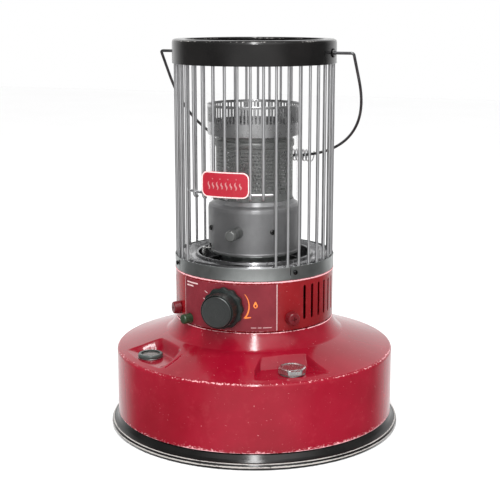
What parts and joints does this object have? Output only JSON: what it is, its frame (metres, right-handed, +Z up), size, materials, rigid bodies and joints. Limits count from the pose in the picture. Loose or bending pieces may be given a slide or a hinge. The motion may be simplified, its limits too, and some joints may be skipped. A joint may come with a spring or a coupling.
{
  "type": "kerosene heater",
  "caption": "Round free-standing kerosene heater: drip tray, flared fuel tank, wick knob, louvred drum, wire guard round a glass-chimney burner, top ring and swinging bail handle.",
  "frame": {"origin": "on the heater axis at the level the tray stands on", "axes": "+Z up; the control knob faces -Y; +X is to the right of somebody who looks at the knob"},
  "size_m": [0.4098, 0.4098, 0.5388],
  "materials": {
    "red_enamel": "glossy dark red enamel, chipped along its edges",
    "red_plastic": "dark red plastic",
    "maroon_panel": "satin maroon",
    "black_enamel": "glossy black enamel",
    "bright_wire": "worn bright wire",
    "galvanised": "dull galvanised steel",
    "burner_steel": "heat-darkened steel",
    "reflector": "dull polished steel",
    "knob_plastic": "dark green-black",
    "knob_metal": "dark brushed disc",
    "green_plastic": "dark green",
    "bright_metal": "bright",
    "cap_metal": "dulled bright plating",
    "brass": "plain",
    "rubber": "plain",
    "wick_cotton": "woven wick",
    "float_plastic": "foamed, plain",
    "gauge_plastic": "dark grey-green",
    "dial_white": "plain",
    "needle_red": "plain",
    "lens": "clear",
    "chimney_glass": "clear",
    "dark_wire": "dark plated wire"
  },
  "bodies": {
    "heater": {"drip_tray": "black_enamel", "tank_shell": "red_enamel", "tank_pan": "black_enamel", "draft_tube": "galvanised", "wick_tube": "galvanised", "filler_neck": "galvanised", "gauge_housing": "galvanised", "gauge_dial": "dial_white", "gauge_lens": "lens", "gauge_bezel": "gauge_plastic", "control_drum": "red_enamel", "front_panel": "maroon_panel", "drum_stud_left": "red_plastic", "drum_stud_right": "red_plastic", "shaft_bearing": "brass", "shaft_bracket": "galvanised", "button_bracket": "galvanised", "igniter_bracket": "galvanised", "guard_band_front": "galvanised", "guard_band_rear": "galvanised", "band_screw_left": "bright_wire", "band_screw_right": "bright_wire", "guard_cage": "bright_wire", "front_grille": "bright_wire", "badge": "red_enamel", "reflector_pan": "reflector", "top_ring": "black_enamel", "top_plate": "black_enamel", "handle_bush_left": "dark_wire", "handle_bush_right": "dark_wire", "button_spring": "bright_wire"},
    "knob": {"control_knob": "knob_plastic", "knob_face": "knob_metal", "knob_shaft": "galvanised", "drive_pinion": "brass"},
    "wick_carrier": {"wick": "wick_cotton", "wick_sleeve": "galvanised", "wick_rack": "brass"},
    "button": {"ignition_button": "green_plastic", "button_stem": "galvanised"},
    "igniter": {"igniter_arm": "galvanised", "igniter_tip": "bright_metal"},
    "cap": {"filler_cap": "cap_metal", "cap_gasket": "rubber"},
    "float": {"float_arm": "brass", "tank_float": "float_plastic"},
    "needle": {"gauge_needle": "needle_red"},
    "burner": {"burner_base": "burner_steel", "burner_knob": "burner_steel", "burner_screw_left": "bright_wire", "burner_screw_right": "bright_wire", "flame_tube_outer": "burner_steel", "flame_tube_inner": "burner_steel", "flame_spreader": "burner_steel", "glass_chimney": "chimney_glass", "crown": "burner_steel"},
    "handle": {"bail": "dark_wire", "bail_grip": "bright_wire"}
  },
  "joints": [
    {"name": "knob_turn", "type": "hinge", "parent": "heater", "child": "knob", "pos_m": [0, -0.112, 0.19], "axis": [0, 1, 0], "range_deg": [0, 150]},
    {"name": "wick_lift", "type": "slide", "parent": "heater", "child": "wick_carrier", "axis": [0, 0, 1], "range_m": [0, 0.0132]},
    {"name": "button_push", "type": "slide", "parent": "heater", "child": "button", "axis": [0.515, 0.8572, 0], "range_m": [0, 0.004], "stiffness_N_per_m": 300, "springref_m": -0.002, "deforming": ["button_spring"]},
    {"name": "igniter_swing", "type": "hinge", "parent": "heater", "child": "igniter", "pos_m": [-0.05906, -0.04783, 0.152], "axis": [-0.6293, 0.7771, 0], "range_deg": [0, 4.1]},
    {"name": "cap_lift", "type": "slide", "parent": "heater", "child": "cap", "axis": [0, 0, 1], "range_m": [0, 0.04]},
    {"name": "float_swing", "type": "hinge", "parent": "heater", "child": "float", "pos_m": [-0.10158, -0.13002, 0.094], "axis": [0.9404, 0.34, 0], "range_deg": [0, 44]},
    {"name": "needle_turn", "type": "hinge", "parent": "heater", "child": "needle", "pos_m": [-0.10158, -0.13002, 0.1138], "axis": [0, 0, -1], "range_deg": [0, 90]},
    {"name": "burner_lift", "type": "slide", "parent": "heater", "child": "burner", "axis": [0, 0, 1], "range_m": [0, 0.02]},
    {"name": "handle_swing", "type": "hinge", "parent": "heater", "child": "handle", "pos_m": [0, 0, 0.521], "axis": [1, 0, 0], "range_deg": [0, 280]}
  ],
  "couplings": [
    {"joint": "wick_lift", "follows": "knob_turn", "m_per_rad": 0.005},
    {"joint": "igniter_swing", "follows": "button_push", "rad_per_m": 17.5},
    {"joint": "needle_turn", "follows": "float_swing", "ratio": 2}
  ]
}
